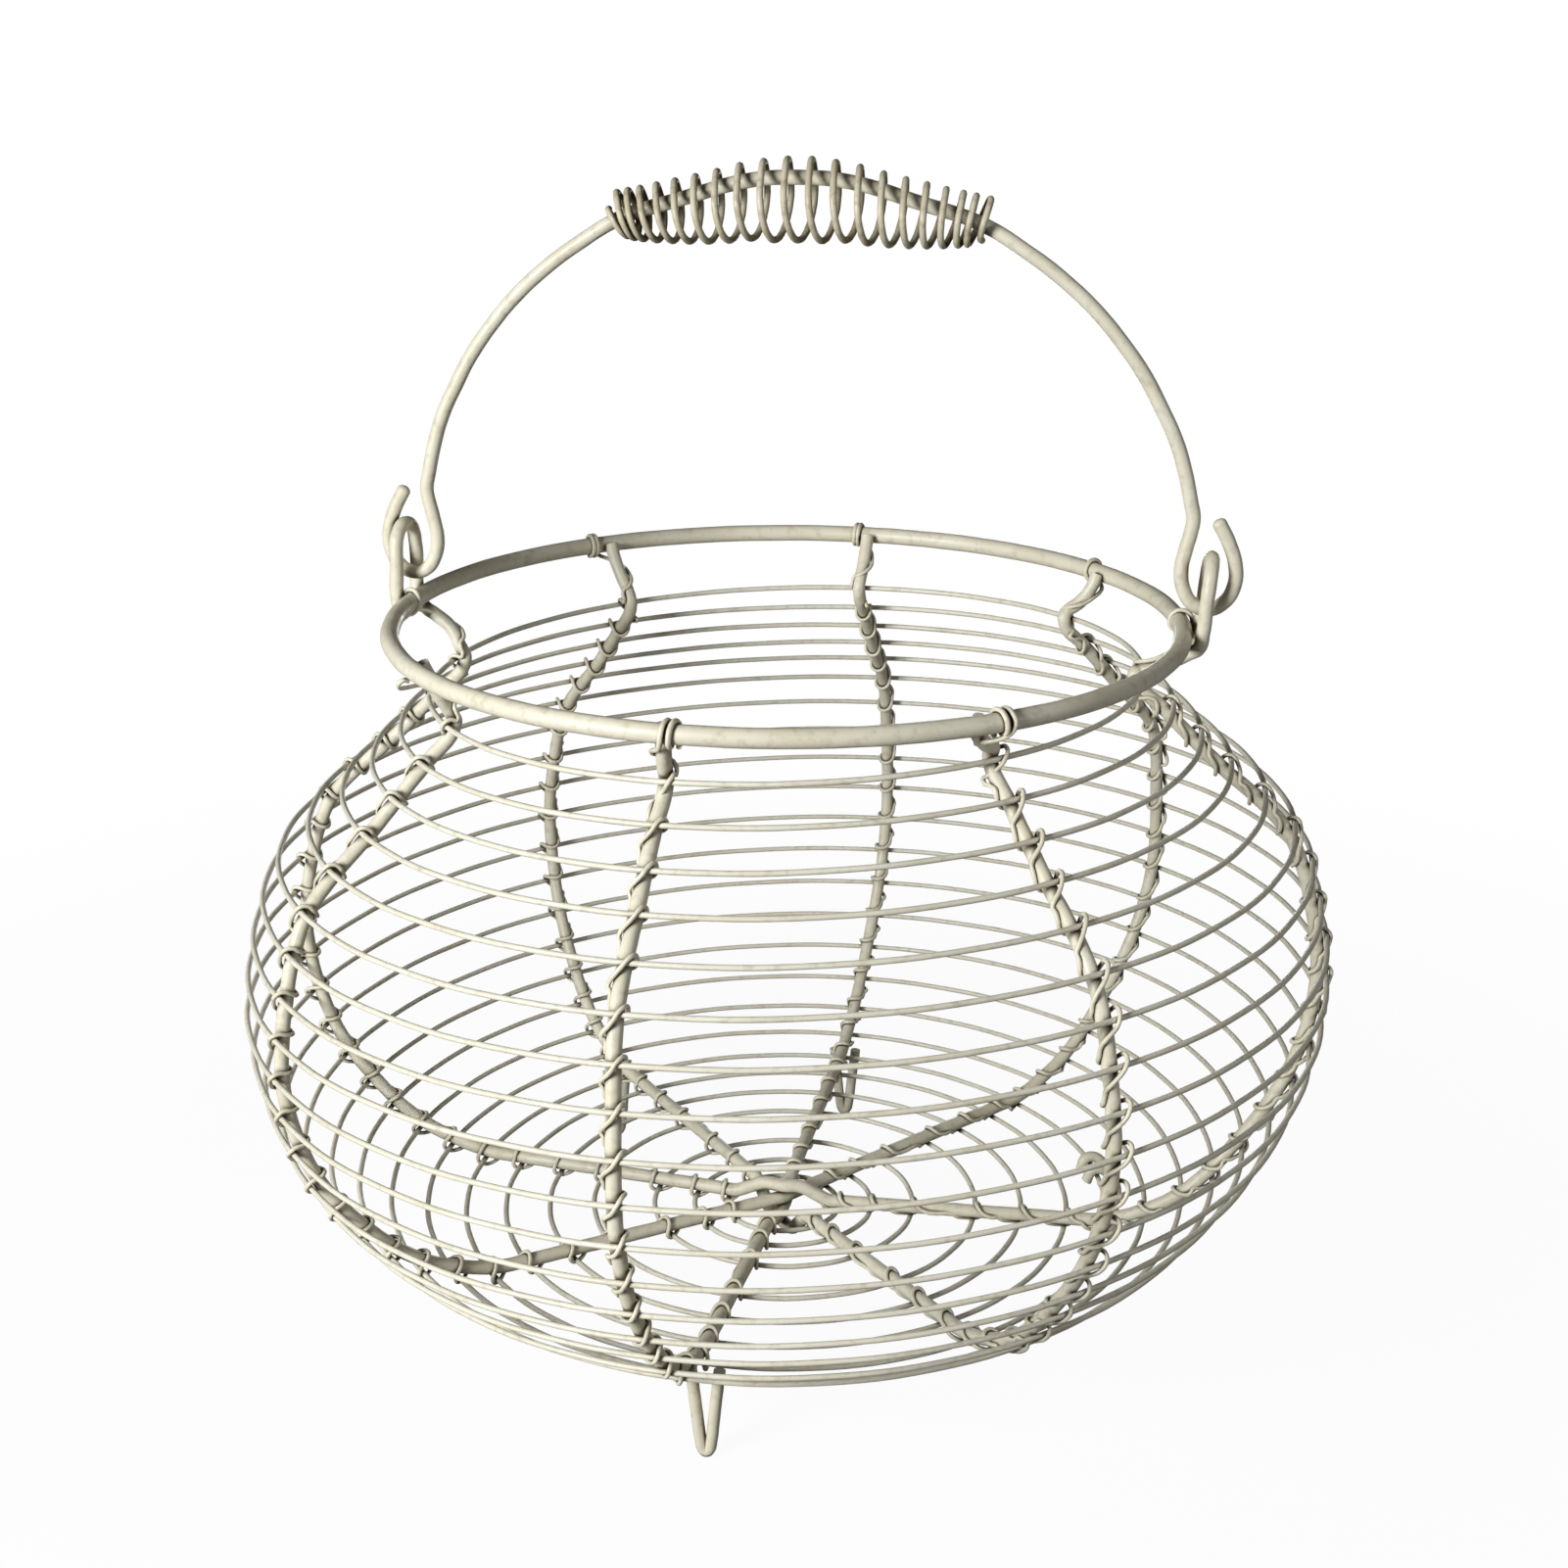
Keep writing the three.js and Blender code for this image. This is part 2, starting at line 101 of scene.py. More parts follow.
def roundCutEnds(wire, settings):
    # takes the sharp edge off the sawn ends of a wire
    shape = bmesh.new()
    shape.from_mesh(wire.data)
    bmesh.ops.remove_doubles(shape, verts=shape.verts, dist=surface["weldGap"] * mm)
    caps = [face for face in shape.faces if len(face.verts) >= surface["capCorners"]]
    edges = list({edge for face in caps for edge in face.edges})
    bmesh.ops.bevel(
        shape, geom=edges, offset=settings["cutEdge"] * mm, segments=surface["edgeSegments"],
        profile=0.5, affect="EDGES", material=-1,
    )
    shape.to_mesh(wire.data)
    shape.free()


def coat(wire, settings, paint, body, nodes):
    # the thick sprayed coat with its soft lumps, and the piece's place in the frame
    height, size = settings["lumpHeight"] * mm, settings["lumpSize"] * mm
    mesh = wire.data
    mesh.update()
    outwards = [vertex.normal.copy() for vertex in mesh.vertices]
    for vertex, outward in zip(mesh.vertices, outwards):
        coarse = noise.noise(vertex.co / size)
        fine = noise.noise(vertex.co / (surface["fineLumps"] * size))
        vertex.co += outward * (coarse + surface["fineShare"] * fine) * height
    mesh.shade_smooth()
    mesh.set_sharp_from_angle(angle=math.radians(surface["sharpAngle"]))
    mesh.materials.clear()
    mesh.materials.append(paint)
    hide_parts(*nodes)
    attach(wire, body)


# paint

def sprayedPaint(name, look):
    material = bpy.data.materials.new(name)
    material.use_nodes = True
    nodes, links = material.node_tree.nodes, material.node_tree.links
    shader = nodes["Principled BSDF"]
    shader.inputs["Specular IOR Level"].default_value = look["shine"]
    place = nodes.new("ShaderNodeTexCoord")

    def cloud(name):
        scale, detail, low, high = look["clouds"][name]
        texture = nodes.new("ShaderNodeTexNoise")
        texture.inputs["Scale"].default_value = scale
        texture.inputs["Detail"].default_value = detail
        links.new(place.outputs["Object"], texture.inputs["Vector"])
        spread = nodes.new("ShaderNodeMapRange")
        spread.inputs["From Min"].default_value = low
        spread.inputs["From Max"].default_value = high
        links.new(texture.outputs["Fac"], spread.inputs["Value"])
        return spread.outputs["Result"]

    def tint(factor, start, colour):
        mix = nodes.new("ShaderNodeMix")
        mix.data_type = "RGBA"
        links.new(factor, mix.inputs["Factor"])
        if isinstance(start, tuple):
            mix.inputs["A"].default_value = start
        else:
            links.new(start, mix.inputs["A"])
        mix.inputs["B"].default_value = colour
        return mix.outputs["Result"]

    crook = nodes.new("ShaderNodeAmbientOcclusion")  # dust and painted shade where wires meet, darker where other wires come close
    crook.samples = look["crookSamples"]
    crook.inputs["Distance"].default_value = look["crookReach"] * mm
    crookSpread = nodes.new("ShaderNodeMapRange")
    crookSpread.inputs["From Min"].default_value = look["crookFrom"]
    crookSpread.inputs["From Max"].default_value = look["crookTo"]
    links.new(crook.outputs["AO"], crookSpread.inputs["Value"])

    colour = tint(cloud("warm"), look["pale"], look["warm"])
    colour = tint(cloud("dusty"), colour, look["dusty"])
    # painted shade, with dust, darkens the colour where wires meet
    colour = tint(crookSpread.outputs["Result"], colour, look["crook"])
    colour = tint(cloud("chips"), colour, look["chip"])
    links.new(colour, shader.inputs["Base Color"])

    rough = nodes.new("ShaderNodeMapRange")
    rough.inputs["To Min"].default_value = look["smooth"]
    rough.inputs["To Max"].default_value = look["rough"]
    links.new(cloud("rough"), rough.inputs["Value"])
    links.new(rough.outputs["Result"], shader.inputs["Roughness"])

    peel = nodes.new("ShaderNodeBump")
    peel.inputs["Strength"].default_value = look["peel"]
    peel.inputs["Distance"].default_value = look["peelDepth"] * mm
    links.new(cloud("peel"), peel.inputs["Height"])
    links.new(peel.outputs["Normal"], shader.inputs["Normal"])
    return material


creamPaint = {
    "pale": (0.86, 0.83, 0.68, 1),
    "warm": (0.785, 0.74, 0.57, 1),
    "dusty": (0.60, 0.55, 0.41, 1),
    # the colour of the painted shade and dust where wires meet
    "crook": (0.10, 0.07, 0.035, 1),
    "chip": (0.09, 0.07, 0.045, 1),
    "crookReach": 2.4,  # how near two wires are where they gather dust and painted shade
    "crookFrom": 0.8,  # open air beside a place, where the dust and painted shade start and where they are full
    "crookTo": 0.3,
    "crookSamples": 8,
    "smooth": 0.34,
    "rough": 0.5,
    "peel": 0.25,
    "peelDepth": 0.05,
    "shine": 0.45,
    "clouds": {  # patches per metre, detail, and the noise's values where they start and are full
        "warm": (70, 3, 0.35, 0.7),
        "dusty": (420, 4, 0.52, 0.85),
        "chips": (520, 2, 0.81, 0.84),
        "rough": (300, 4, 0.3, 0.7),
        "peel": (1500, 2, 0.3, 0.7),
    },
}
basketPaint = sprayedPaint("creamCoatBasket", creamPaint)
hoopPaint = sprayedPaint("creamCoatHoops", {
    **creamPaint,
    "pale": (0.86, 0.84, 0.715, 1),
    "warm": (0.79, 0.755, 0.605, 1),
    "clouds": {**creamPaint["clouds"], "chips": (520, 2, 0.79, 0.82)},
})
# ribs: more painted shade, with dust, beside the lashings and hoops
ribPaint = sprayedPaint("creamCoatRibs", {**creamPaint, "crookFrom": 0.9, "crookTo": 0.4})
# lashing: its own spread of the painted shade and dust round its turns
lashingPaint = sprayedPaint("creamCoatLashing", {
    **creamPaint,
    "pale": (0.87, 0.84, 0.68, 1),
    "crookFrom": 0.76,
    "crookTo": 0.34,
})
# handle: painted shade and dust reach further, darkening the handle inside the coil
handlePaint = sprayedPaint("creamCoatHandle", {**creamPaint, "crookReach": 6, "crookTo": 0.35})
# grip: a darker, browner copy of the cream coat that paints the shade on the coil's turns, with painted
# shade and dust reaching over most of the coil, deepest beside the handle inside it
shadedGripPaint = sprayedPaint("creamCoatGrip", {
    **creamPaint,
    "pale": (0.79, 0.745, 0.575, 1),
    "warm": (0.60, 0.535, 0.37, 1),
    "dusty": (0.33, 0.27, 0.16, 1),
    "crookReach": 8,
    "crookFrom": 0.95,
    "crookTo": 0.48,
})
print("paints made")


# rim, hoops and bottom rings

rim = {
    "wire": 4.5,
    "roundness": 8,  # on every piece: a wire has twice as many faces round it, and four more
    "bendSteps": 8,  # on every piece: steps from one point of its route to the next
    "lumpHeight": 0.05,
    "lumpSize": 6,
    "radius": 97,
    "height": 181,
    "points": 24,
}
hoop = {
    "wire": 1.35,
    "roundness": 3,
    "bendSteps": 6,
    "lumpHeight": 0.03,
    "lumpSize": 3,
    "count": 19,
    "points": 24,
    "cadWire": 1.4,
    "cadFlats": 32,
    "wander": 0.25,
    "seedStep": 3.1,
}
bottomRing = {"cadFlats": 24, "points": (24, 24, 16, 16, 16, 16)}
wanderNoise = {"scale": 1.3, "heightShift": (7, 3, 1)}


def ringRoute(radius, height, count, wander=0, seed=0):
    # a hand-closed ring: a true circle that wanders a little in and out and up and down
    route = []
    for i in range(count):
        angle = 2 * math.pi * i / count
        where = Vector((math.cos(angle), math.sin(angle), seed))
        spot = where * wanderNoise["scale"]
        reach = radius + wander * noise.noise(spot)
        level = height + wander * noise.noise(spot + Vector(wanderNoise["heightShift"]))
        route.append(Vector((reach * where.x, reach * where.y, level)))
    return route


def cadRing(node, flats):
    # a CAD ring's wire centre, whose flats lie on the true circle, its lean and its shift towards the front
    low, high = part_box(node)
    corner = high.x / mm - hoop["cadWire"] / 2
    return {
        "radius": corner * math.cos(math.pi / flats),
        "height": (low.z + high.z) / 2 / mm,
        "lean": ((high.z - low.z) / mm - hoop["cadWire"]) / (2 * corner),
        "setOff": -(low.y + high.y) / 2 / mm,
    }


def uneven(point, lean, setOff):
    # a place moved with its leaning hoop or with its shifted bottom ring
    return point + Vector((0, -setOff, lean * point.x))


rimRoute = ringRoute(rim["radius"], rim["height"], rim["points"])
rimRing = bentWire("rimRing", rimRoute, rim, closed=True)
coat(rimRing, rim, basketPaint, "basket", ["rim"])

ringNodes = [(f"hoop_{i + 1:02d}", hoop["cadFlats"], hoop["points"]) for i in range(hoop["count"])]
for i, points in enumerate(bottomRing["points"]):
    ringNodes.append((f"bottom_ring_{i + 1}", bottomRing["cadFlats"], points))

crossings = []
for number, (node, flats, points) in enumerate(ringNodes):
    place = cadRing(node, flats)
    crossings.append(place)
    route = ringRoute(place["radius"], place["height"], points, hoop["wander"], hoop["seedStep"] * number)
    route = [uneven(point, place["lean"], place["setOff"]) for point in route]
    ring = bentWire(node.replace("_", "") + "Wire", route, hoop, closed=True)
    coat(ring, hoop, hoopPaint, "basket", [node])
print("rim, hoops and bottom rings made")


# ribs

rib = {
    "wire": 3.5,
    "roundness": 6,
    "bendSteps": 8,
    "cutEdge": 0.5,
    "lumpHeight": 0.1,
    "lumpSize": 4,
    "inset": 2.4,  # from a hoop's wire centre to the rib's
    "seat": 3.5,  # from the rim's wire centre in to the top of a rib
    "top": [  # a plain rib's top: share of the way from the rim to the neck, outward, drop
        (0, 0.4, -0.6),
        (0, -0.8, 2.2),
        (0.5, 0, 7.5),
        (1, 0.8, 11.2),
    ],
    "ears": {
        "halfWidth": 6.3,
        "height": 18.4,
        "radius": 101.15,
        "under": 4.45,  # from the rim's middle down to where the wire begins
        "start": 1.6,  # where the wire begins, outward from the rim's middle
        "waistOut": -0.3,
        "waistDrops": (0.5, 0.55),  # on the first and on the second leg
        "waistWidth": 0.9,  # of the second leg
        "flare": (0.3, 1.5),  # outward and rise
        "leg": [(1, 0.43), (0.95, 0.67), (0.73, 0.89)],  # shares of the half width and of the height
        "lean": {"left_ear": 0, "right_ear": 0.1},
        "dive": {  # the way in under the rim: outward from the rim's middle, share of the half width, drop
            "left_ear": [(1.2, -0.6, 4.45), (-2.4, -0.3, 5.55), (-7.2, -0.1, 7.9), (-9.5, 0, 10.6)],
            "right_ear": [(1.4, -0.65, 4.4), (-2.4, -0.35, 8), (-6.8, -0.1, 11.8), (-9.6, 0, 12.8)],
        },
    },
    "stackStep": 3.5,  # from one wire to the next where they cross
    "crossing": (13, 9, 5),  # distances from the middle between which the wires rise over each other
    "bellyHoop": 9,  # the widest hoop, counted from 0
    "angles": {  # compass angle at the rim, neck, belly and base, counted from the right ear
        "right_ear": (4.1, 3.4, 1, -2),
        "back_right": (39.5, 41.3, 47.8, 49),
        "back": (86.8, 87.1, 87.4, 89.6),
        "back_left": (132.4, 131.4, 133.5, 135),
        "left_ear": (175.9, 176.4, 177.6, 178),
        "front_left": (217.2, 215.6, 219.7, 221.7),
        "front": (264.6, 263.4, 265.6, 267.1),
        "front_right": (307.2, 312.4, 312.2, 311.3),
    },
}
neckDrop = rim["height"] - crossings[0]["height"]
ringShift = 6  # of the middle of the base towards the front
heel = hoop["count"]  # the first crossing on the flat bottom

for i, place in enumerate(crossings):
    # which way is out of the basket and which way is down the wall at each hoop
    if i == 0:
        place["out"], place["down"] = (1, 0), (0, -1)
    elif i >= heel:
        place["out"], place["down"] = (0, -1), (-1, 0)
    else:
        before, after = crossings[i - 1], crossings[i + 1]
        run = Vector((after["radius"] - before["radius"], after["height"] - before["height"])).normalized()
        place["out"], place["down"] = (-run.y, run.x), (run.x, run.y)


def ribAngle(side, i):
    _, neck, belly, base = rib["angles"][side]
    turn = (belly - neck) * smoothStep(i, 0, rib["bellyHoop"])
    return neck + turn + (base - belly) * smoothStep(i, rib["bellyHoop"], heel)


def besideRib(side, i, sideways, outward, downward):
    # a place near a crossing, measured from the middle of the rib wire there
    place = crossings[i]
    depth = outward - rib["inset"]
    point = around(
        ribAngle(side, i),
        place["radius"] + place["out"][0] * depth + place["down"][0] * downward,
        sideways,
        place["height"] + place["out"][1] * depth + place["down"][1] * downward,
    )
    return uneven(point, place["lean"], place["setOff"])


def aboveNeck(degrees, radius, sideways, drop):
    # a place between the rim and the neck, which takes up the hoops' lean on the way down
    point = around(degrees, radius, sideways, rim["height"] - drop)
    return uneven(point, crossings[0]["lean"] * smoothStep(drop, rim["wire"], neckDrop), 0)


def towardsNeck(side, share, sideways, outward, drop):
    # a place beside a rib's top, at a share of the way from the rim to the neck
    top, neck, _, _ = rib["angles"][side]
    seat, crook = rim["radius"] - rib["seat"], crossings[0]["radius"] - rib["inset"]
    return aboveNeck(top + (neck - top) * share, seat + (crook - seat) * share + outward, sideways, drop)


def plainTop(side):
    return [towardsNeck(side, share, 0, outward, drop) for share, outward, drop in rib["top"]]


def earTop(side):
    angle = rib["angles"][side][0]
    ear = rib["ears"]
    wide, tall, out, under = ear["halfWidth"], ear["height"], ear["radius"], ear["under"]
    flareOut, flareRise = ear["flare"]
    leg = [(out + flareOut, wide, flareRise)]
    leg += [(out, across * wide, up * tall) for across, up in ear["leg"]]
    route = [
        (rim["radius"] + ear["start"], wide, -under),
        (out + ear["waistOut"], wide, -ear["waistDrops"][0] * under),
        *leg,
        (out, 0, tall),
        *[(radius, -sideways, rise) for radius, sideways, rise in reversed(leg)],
        (out + ear["waistOut"], -ear["waistWidth"] * wide, -ear["waistDrops"][1] * under),
        *[(rim["radius"] + outward, share * wide, -drop) for outward, share, drop in ear["dive"][side]],
    ]
    lean = ear["lean"][side]
    return [
        aboveNeck(angle, radius + lean * max(rise, 0), sideways, -rise)
        for radius, sideways, rise in route
    ]


def ribDown(side, top, level):
    route = [*top, *[besideRib(side, i, 0, 0, 0) for i in range(len(crossings))]]
    base = crossings[-1]["height"] + rib["inset"]
    for radius in rib["crossing"]:
        share = 1 - smoothStep(radius, rib["crossing"][-1], rib["crossing"][0])
        place = around(rib["angles"][side][3], radius, 0, base + level * rib["stackStep"] * share)
        route.append(uneven(place, 0, ringShift * (1 - radius / crossings[heel]["radius"])))
    return route


ribWires = {  # the two sides that a wire joins, its level where they cross, and the form of its tops
    "rib_wire_back_left": ("back_left", "front_right", -2, plainTop),
    "rib_wire_front": ("front", "back", -1, plainTop),
    "rib_wire_back_right": ("back_right", "front_left", 0, plainTop),
    "rib_wire_ears": ("left_ear", "right_ear", 1, earTop),
}
for node, (first, second, level, top) in ribWires.items():
    middle = Vector((0, -ringShift, crossings[-1]["height"] + rib["inset"] + level * rib["stackStep"]))
    route = [*ribDown(first, top(first), level), middle, *reversed(ribDown(second, top(second), level))]
    wire = bentWire(node.replace("_", ""), route, rib)
    roundCutEnds(wire, rib)
    coat(wire, rib, ribPaint, "basket", [node])
print("ribs and ears made")


# lashings

lashing = {
    "wire": 1.05,
    "roundness": 3,
    "bendSteps": 3,
    "cutEdge": 0.2,
    "lumpHeight": 0.06,
    "lumpSize": 1.6,
    "rimWire": 1.25,
    "rimHug": 2.8,
    "turn": [  # one turn round a rib and over a hoop: sideways, outward, down the wall
        (-2.15, 0.3, -4.6),
        (-2.1, -0.5, -2.6),
        (-1.5, -1.75, -1.3),
        (0, -2.3, -0.7),
        (1.6, -1.65, -0.9),
        (2.3, -0.1, -1.8),
        (2.4, 1.5, -2.4),
        (2.2, 2.9, -1.7),
        (1.6, 3.55, -0.2),
        (0.7, 3.2, 1.4),
        (-0.5, 2.5, 2.7),
        (-1.6, 1.7, 3.7),
        (-2.15, 0.6, 4.7),
    ],
    "turnAtNeck": 5,  # the point of the turn that the wire joins at the first hoop
    "fullPitch": 10.5,  # gap between hoops that a turn fills at its full length
    "mostPitch": 1.15,
    "loose": {  # how far a rib's turns bulge to the right
        "front_right": 1,
        "front": 0.5,
        "front_left": 0.4,
        "right_ear": 0.5,
        "elsewhere": 0.25,
    },
    "rightFrom": 1.4,  # sideways from here a turn counts as on the right, and fully from rightTo
    "rightTo": 2.4,
    "bulge": {"plain": 0.75, "uneven": 0.6, "everywhere": -0.3, "step": 0.9, "row": 4},
    "unrest": {"reach": 0.5, "step": 0.7, "alongTurn": 0.3},  # the turns' uneven drop
    "tightDrop": 0.45,  # how much less a tight turn drops on the right
    "seedStep": 2.7,
    "rim": {  # whole turns round the rim before the last part of one, and their begin and end sideways
        "right_ear": (0, 11, 9.6),
        "back_right": (0, 5, 6.6),
        "back": (1, 4.2, 2.4),
        "back_left": (1, 5.5, 3.6),
        "left_ear": (0, 11.5, 4.5),
        "front": (1, 5, 1.9),
        "front_right": (1, 1.8, 5.3),
    },
    "rimStart": 270,  # degrees: the turns start on the rim's underside
    "rimPoints": (8, 6),  # steps in a whole turn round the rim, and in the last part of one
    "rimFade": 3,  # points over which the coat thins again
    "leaveRim": [  # outward, share of the turns' end, sideways, rise
        (1.5, 0.75, -0.4, -2.9),
        (-0.8, 0.3, -1.2, -4.2),
    ],
    "baseHug": (0.92, 0.8),  # width and depth of the turns on the flat bottom
    "looseLoop": [  # where no turn goes round the rim: sideways, outward, rise
        (1.4, 0.6, -2.9),
        (1.6, 1.9, -2.6),
        (1.1, 2.9, -3.6),
        (0.1, 2.4, -4.8),
        (-0.9, 0.9, -5.2),
    ],
    "neck": [  # down the rib from the rim to the first hoop: share of the way, sideways, outward
        (0.42, -2, 2.0),
        (0.52, -2.4, 0.3),
        (0.6, -1.6, -1.7),
        (0.67, 0.1, -2.35),
        (0.73, 1.7, -1.5),
    ],
}


def crossingPitch(i):
    # turns draw together where the hoops stand closer
    first, last = max(i - 1, 0), min(i + 1, len(crossings) - 1)
    before, after = crossings[first], crossings[last]
    span = math.dist((before["radius"], before["height"]), (after["radius"], after["height"]))
    return min(span / (last - first) / lashing["fullPitch"], lashing["mostPitch"])


def rimSteps(side):
    # the steps that a lashing takes round the rim
    if side not in lashing["rim"]:
        return 0
    perTurn, lastPart = lashing["rimPoints"]
    return perTurn * lashing["rim"][side][0] + lastPart


def rimTurns(side):
    def besideRim(sideways, outward, rise):
        return around(rib["angles"][side][0], rim["radius"] + outward, sideways, rim["height"] + rise)

    steps = rimSteps(side)
    if not steps:
        return [besideRim(*place) for place in lashing["looseLoop"]]
    _, start, end = lashing["rim"][side]
    hug = lashing["rimHug"]
    route = []
    for i in range(steps + 1):
        turn = math.radians(lashing["rimStart"] - 360 * i / lashing["rimPoints"][0])
        sideways = start + (end - start) * i / steps
        route.append(besideRim(sideways, hug * math.cos(turn), hug * math.sin(turn)))
    for outward, share, sideways, rise in lashing["leaveRim"]:
        route.append(besideRim(share * end + sideways, outward, rise))
    return route


def lashingRoute(side, seed):
    route = rimTurns(side)
    for share, sideways, outward in lashing["neck"]:
        route.append(towardsNeck(side, share, sideways, outward, neckDrop * share))
    loose = lashing["loose"].get(side, lashing["loose"]["elsewhere"])
    bulge, unrest = lashing["bulge"], lashing["unrest"]
    hugWide, hugDeep = lashing["baseHug"]
    for i in range(len(crossings)):
        pitch = crossingPitch(i)
        chance = noise.noise(Vector((seed, bulge["step"] * i, bulge["row"])))
        swing = loose * (bulge["plain"] + bulge["uneven"] * chance) if i < heel else 0
        reach = bulge["everywhere"] + swing
        turn = lashing["turn"][lashing["turnAtNeck"]:] if i == 0 else lashing["turn"]
        for sideways, outward, downward in turn:
            right = smoothStep(sideways, lashing["rightFrom"], lashing["rightTo"])
            sideways += reach * right
            if i >= heel:
                sideways, outward = sideways * hugWide, outward * (hugDeep if outward > 0 else 1)
            spot = Vector((seed, unrest["step"] * i, unrest["alongTurn"] * downward))
            slack = 1 - lashing["tightDrop"] * (1 - loose) * right
            drop = downward * slack + unrest["reach"] * noise.noise(spot)
            route.append(besideRib(side, i, sideways, outward, drop * pitch))
    return route


def lashingShares(side, count):
    # the coat lies thicker where the wire goes round the rim
    steps, more = rimSteps(side), lashing["rimWire"] / lashing["wire"] - 1
    return [1 + more * (1 - smoothStep(i, steps, steps + lashing["rimFade"])) for i in range(count)]


for number, side in enumerate(rib["angles"]):
    name = "lashing" + side.title().replace("_", "")
    route = lashingRoute(side, lashing["seedStep"] * number)
    wire = bentWire(name, route, lashing, shares=lashingShares(side, len(route)))
    roundCutEnds(wire, lashing)
    coat(wire, lashing, lashingPaint, "basket", ["lashing_" + side])
print("lashings made")


# feet

foot = {
    "wire": 2.9,
    "roundness": 6,
    "bendSteps": 8,
    "cutEdge": 0.4,
    "lumpHeight": 0.05,
    "lumpSize": 3,
    "setOut": 5.44,
    "tipHalfGap": 0.95,
    "splay": 0.113,
    "tip": 1.52,  # height of the wire's centre at the tip
    "leg": (0.6, 2.4, 0.8),  # a share of the leg's height, then heights above the tip
    "tipPinch": 0.8,
    "hook": [  # out and up from the lowest hoop's wire
        (-3.0135, -1.127),
        (-1.47, 2.0825),
        (1.47, 2.0825),
        (3.97, -1.225),
    ],
    "sides": {  # compass angle, rise of the legs' tops above the lowest hoop, and whether they hook over it
        "front": (269, 2.1, False),
        "back": (89.6, 0.2, False),
        "left": (135, 0.2, False),
        "right": (19, -3.8, True),
    },
}


def footRoute(angle, rise, hooked):
    ring, tip = crossings[heel - 1], foot["tip"]
    out, top = ring["radius"] + foot["setOut"], ring["height"] + rise
    middle, upper, lower = foot["leg"]
    half = [(out, height) for height in (top, middle * top, tip + upper, tip + lower)]
    if hooked:
        half = [*[(ring["radius"] + outward, ring["height"] + up) for outward, up in foot["hook"]], *half]
    gaps = [foot["tipHalfGap"] + foot["splay"] * (height - tip) for _, height in half]
    gaps[-1] *= foot["tipPinch"]
    return [
        *[around(angle, radius, gap, height) for (radius, height), gap in zip(half, gaps)],
        around(angle, out, 0, tip),
        *[around(angle, radius, -gap, height) for (radius, height), gap in reversed(list(zip(half, gaps)))],
    ]


for side, place in foot["sides"].items():
    wire = bentWire("foot" + side.title(), footRoute(*place), foot)
    roundCutEnds(wire, foot)
    coat(wire, foot, basketPaint, "basket", ["foot_" + side])
print("feet made")


# bail handle

handle = {
    "wire": 3.5,
    "roundness": 8,
    "bendSteps": 10,
    "lumpHeight": 0.04,
    "lumpSize": 6,
    "hinge": (100.89, 7.232, 186.8),  # the lowest point of the right hook, before the shift
    "shift": 1.7,  # of the whole bail towards the right ear
    "rise": 100,
    "halfWidth": 96.1,
    "hookRise": 22.2,
    "domeDepth": 0.7,  # share of the wire's radius
    "domeAngles": (0, 30, 55, 75, 87),  # places on the dome, from its edge towards its tip
    "arch": [  # shares of the half width and of the rise, from the top down one side
        (0, 1), (0.121, 0.992), (0.302, 0.945), (0.455, 0.899), (0.565, 0.838),
        (0.661, 0.772), (0.741, 0.703), (0.807, 0.631), (0.863, 0.558), (0.907, 0.484),
        (0.946, 0.41), (0.973, 0.335), (0.992, 0.26),
    ],
    "hook": [  # outward from the hook's lowest point, and share of the hook's rise, on to the cut end
        (-4.79, 1), (-5.29, 0.83), (-6.2, 0.65), (-7, 0.42), (-6.1, 0.2), (-3.77, 0.05),
        (0, 0), (3.64, 0.09), (5.8, 0.28), (5.8, 0.5), (4, 0.74), (0.9, 1),
    ],
}


def handleSide():
    return [
        *[(handle["halfWidth"] * across, handle["rise"] * up) for across, up in handle["arch"]],
        *[(handle["hinge"][0] + outward, handle["hookRise"] * up) for outward, up in handle["hook"]],
    ]


def domedEnd(end, before):
    # the hook's last stretch: places, and the share of the wire's thickness there
    depth = (end - before).normalized() * handle["domeDepth"] * handle["wire"] / 2
    angles = [math.radians(angle) for angle in handle["domeAngles"]]
    return [(end - depth * (1 - math.sin(angle)), math.cos(angle)) for angle in angles]


oneSide = handleSide()
outline = [*[(-across, up) for across, up in reversed(oneSide[1:])], *oneSide]
_, hingeDepth, hingeHeight = handle["hinge"]
route = [Vector((handle["shift"] + across, hingeDepth, hingeHeight + up)) for across, up in outline]
stations = [
    *reversed(domedEnd(route[0], route[1])),
    *[(place, 1) for place in route[1:-1]],
    *domedEnd(route[-1], route[-2]),
]
places, shares = zip(*stations)
bail = bentWire("bailHandle", places, handle, shares=shares)
coat(bail, handle, handlePaint, "bail", ["handle"])
print("handle made")


# coiled grip

grip = {
    "wire": 1.65,
    "roundness": 4,
    "bendSteps": 4,
    "cutEdge": 0.3,
    "lumpHeight": 0.05,
    "lumpSize": 2,
    "turns": {"tightLeft": 2.5, "open": 16, "tightRight": 1, "tail": 1},
    "pitch": {"tight": 2.3, "end": 3.4, "middle": 5.8, "tail": 3.3},
    "pinch": 0.5,  # draws each turn together at the top and opens it at the bottom
    "topNarrow": 0.3,
    "middleRadius": 9.45,
    "endRadius": 5.2,
    "closedRadius": 3.192,  # of the cut ends, which close on the handle
    "closeWithin": 0.4,  # of a turn
    "middleHang": 5,
    "endLift": 1.2,
    "taper": {"radius": 1.35, "hang": 2.2},
    "pointsPerTurn": 12,
    "slopeReach": 2,  # how far to each side the handle's slope is taken
}


